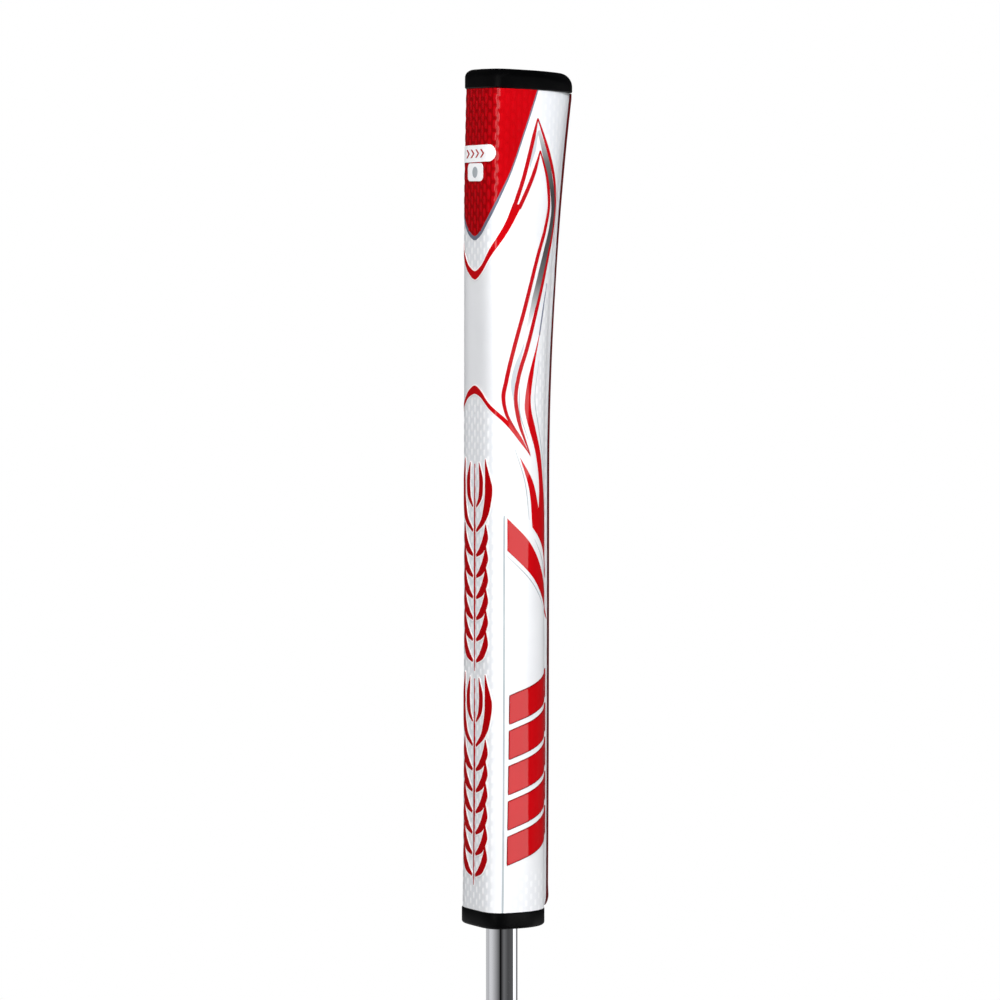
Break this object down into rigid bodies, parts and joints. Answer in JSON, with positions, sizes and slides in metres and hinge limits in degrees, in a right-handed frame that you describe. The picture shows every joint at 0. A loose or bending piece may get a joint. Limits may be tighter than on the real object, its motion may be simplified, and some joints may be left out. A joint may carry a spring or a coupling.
{
  "type": "putter grip",
  "caption": "Pistol-profile putter grip with a flat thumb face, raised back spine, rubber ends and a screw-plugged butt port, on a short stub of stepped steel shaft.",
  "frame": {"origin": "on the shaft axis, at the centre of the mouth ring's bottom face", "axes": "+Z along the shaft axis towards the butt, -Y out of the flat thumb face, +Y out of the back with the raised spine, +X to one side"},
  "size_m": [0.025, 0.0343, 0.2969],
  "materials": {
    "skin": "white polyurethane with fine embossing and red and grey printed shapes",
    "felt": "grey non-woven felt",
    "foam": "dark closed-cell foam",
    "spine": "dark red satin moulding",
    "end_rubber": "black matte moulded rubber",
    "insert_metal": "turned aluminium",
    "plug_plastic": "black moulded nylon",
    "gasket_rubber": "smooth black rubber",
    "tape": "cream creped paper tape",
    "shaft_chrome": "bright chrome plate"
  },
  "bodies": {
    "grip": {"outer_skin": "skin", "felt_backing": "felt", "foam_core": "foam", "spine_rib": "spine", "mouth_ring": "end_rubber", "butt_cap": "end_rubber", "port_insert": "insert_metal", "grip_tape": "tape", "shaft_tube": "shaft_chrome"},
    "gasket": {"plug_gasket": "gasket_rubber"},
    "plug": {"port_plug": "plug_plastic"}
  },
  "joints": [
    {"name": "plug_travel", "type": "slide", "parent": "grip", "child": "gasket", "axis": [0, 0, 1], "range_m": [0, 0.009]},
    {"name": "plug_turn", "type": "hinge", "parent": "gasket", "child": "plug", "pos_m": [0, 0, 0.26], "axis": [0, 0, 1], "range_deg": [0, 2160]}
  ],
  "couplings": [
    {"joint": "plug_turn", "follows": "plug_travel", "rad_per_m": 4188.8}
  ]
}
